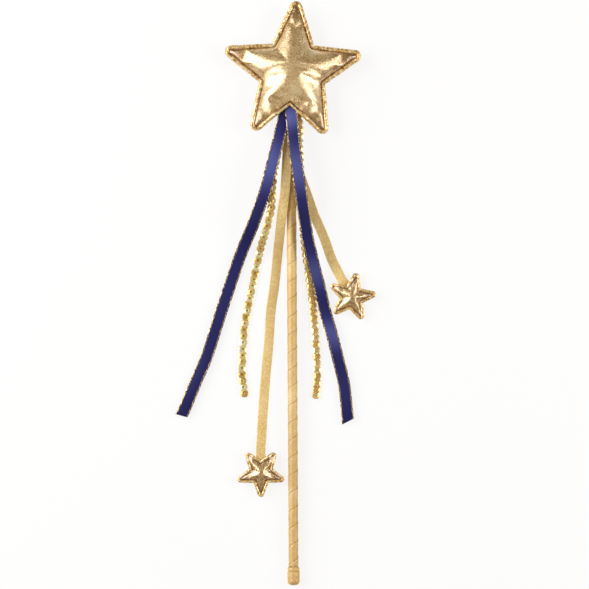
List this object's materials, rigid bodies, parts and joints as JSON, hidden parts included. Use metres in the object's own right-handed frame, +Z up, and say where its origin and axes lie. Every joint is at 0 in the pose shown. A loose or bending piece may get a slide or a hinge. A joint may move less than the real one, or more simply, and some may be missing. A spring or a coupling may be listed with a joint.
{
  "type": "toy magic wand",
  "caption": "Toy magic wand: a stuffed gold star on a ribbon-wrapped rod, with navy satin, gold ribbon and sequin streamers, some ending in small stuffed star charms.",
  "frame": {"origin": "on the table under the rod's axis, half way between the top of the star and the tip, with the wand lying on its back", "axes": "+X to the right seen from the front, +Y along the rod from the tip to the star, +Z up out of the star's front"},
  "size_m": [0.147, 0.4262, 0.0234],
  "materials": {
    "gold_foil": "metallic gold leatherette, glossy with a fine grain",
    "gold_piping": "metallic gold leatherette, gathered over a cord",
    "stuffing": "white polyester filling",
    "piping_cord": "white cotton cord",
    "rod_wood": "plain round dowel",
    "glue": "clear amber hot glue",
    "gold_wrap": "gold satin ribbon, wound on",
    "gold_tip": "gold satin ribbon, folded and glued",
    "navy_satin": "navy satin with metallic gold edges",
    "gold_ribbon": "metallic gold ribbon, fine ribbed weave",
    "gold_sequin": "metallised gold, glossy",
    "gold_thread": "gold thread"
  },
  "bodies": {
    "wand": {"star_front_panel": "gold_foil", "star_back_panel": "gold_foil", "star_stuffing": "stuffing", "star_piping_cover": "gold_piping", "star_piping_cord": "piping_cord", "wand_rod": "rod_wood", "rod_glue": "glue", "rod_wrap": "gold_wrap", "tip_cover": "gold_tip", "tip_band": "gold_tip", "ribbon_tack": "gold_thread"},
    "navy_left": {"navy_ribbon_left": "navy_satin"},
    "navy_right": {"navy_ribbon_right": "navy_satin"},
    "gold_left": {"gold_ribbon_left": "gold_ribbon"},
    "gold_right": {"gold_ribbon_right": "gold_ribbon"},
    "strand_left": {"sequins_left": "gold_sequin", "sequin_thread_left": "gold_thread"},
    "strand_right": {"sequins_right": "gold_sequin", "sequin_thread_right": "gold_thread"},
    "charm_left": {"charm_left_front": "gold_foil", "charm_left_back": "gold_foil", "charm_left_stuffing": "stuffing", "charm_left_piping": "gold_piping", "charm_left_tack": "gold_thread"},
    "charm_right": {"charm_right_front": "gold_foil", "charm_right_back": "gold_foil", "charm_right_stuffing": "stuffing", "charm_right_piping": "gold_piping", "charm_right_tack": "gold_thread"}
  },
  "joints": [
    {"name": "navy_left_swing", "type": "hinge", "parent": "wand", "child": "navy_left", "pos_m": [-0.001, 0.137, 0.014], "axis": [0, 0, 1], "range_deg": [-10, 8]},
    {"name": "navy_right_swing", "type": "hinge", "parent": "wand", "child": "navy_right", "pos_m": [-0.001, 0.137, 0.014], "axis": [0, 0, 1], "range_deg": [-4, 0]},
    {"name": "gold_left_swing", "type": "hinge", "parent": "wand", "child": "gold_left", "pos_m": [-0.001, 0.137, 0.014], "axis": [0, 0, 1], "range_deg": [-20, 0]},
    {"name": "gold_right_swing", "type": "hinge", "parent": "wand", "child": "gold_right", "pos_m": [-0.001, 0.137, 0.014], "axis": [0, 0, 1], "range_deg": [0, 20]},
    {"name": "strand_left_swing", "type": "hinge", "parent": "wand", "child": "strand_left", "pos_m": [-0.001, 0.137, 0.014], "axis": [0, 0, 1], "range_deg": [-12, 4]},
    {"name": "strand_right_swing", "type": "hinge", "parent": "wand", "child": "strand_right", "pos_m": [-0.001, 0.137, 0.014], "axis": [0, 0, 1], "range_deg": [0, 4]},
    {"name": "charm_left_turn", "type": "hinge", "parent": "gold_left", "child": "charm_left", "pos_m": [-0.0235, -0.123, 0.0046], "axis": [0, 0, 1], "range_deg": [-12, 8]},
    {"name": "charm_right_turn", "type": "hinge", "parent": "gold_right", "child": "charm_right", "pos_m": [0.0405, 0.0045, 0.0046], "axis": [0, 0, 1], "range_deg": [-3, 12]}
  ]
}
